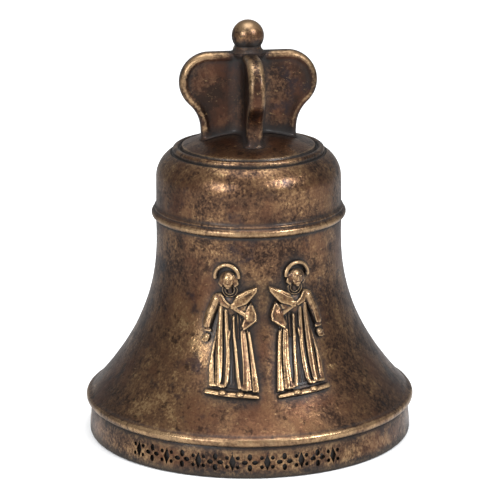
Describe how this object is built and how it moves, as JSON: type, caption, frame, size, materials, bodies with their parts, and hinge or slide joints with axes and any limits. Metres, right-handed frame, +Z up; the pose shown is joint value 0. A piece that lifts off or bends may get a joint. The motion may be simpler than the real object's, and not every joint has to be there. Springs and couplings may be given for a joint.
{
  "type": "church bell",
  "caption": "Small cast bronze church bell with a four-lobed crown and ball finial, two robed relief figures on the waist and a pinned swinging clapper.",
  "frame": {"origin": "centre of the ring on which the bell stands, on the resting plane", "axes": "+Z up along the bell's axis, -Y towards the side with the two figures, the clapper pin along Y"},
  "size_m": [0.082, 0.082, 0.1037],
  "materials": {
    "cast_bronze": "aged cast bronze, mottled brown patina, semi-gloss",
    "rubbed_bronze": "bronze rubbed bright on its high spots, dark in its recesses",
    "dark_steel": "oiled dark steel",
    "cast_iron": "cast iron, worn smooth where it strikes",
    "brass": "turned brass, dulled"
  },
  "bodies": {
    "bell": {"bell_shell": "cast_bronze", "crown": "cast_bronze", "finial_ball": "rubbed_bronze", "figure_left": "rubbed_bronze", "figure_right": "rubbed_bronze", "staple_bolt": "dark_steel", "staple_washer": "brass", "staple_nut": "dark_steel", "clapper_pin": "dark_steel", "pin_keeper": "dark_steel", "side_washer_front": "brass", "side_washer_back": "brass"},
    "clapper": {"clapper_rod": "dark_steel", "eye_bush": "brass", "clapper_ball": "cast_iron", "clapper_tail": "brass"}
  },
  "joints": [
    {"name": "clapper_swing", "type": "hinge", "parent": "bell", "child": "clapper", "pos_m": [0, 0, 0.0585], "axis": [0, 1, 0], "range_deg": [-25.6, 25.6]}
  ]
}
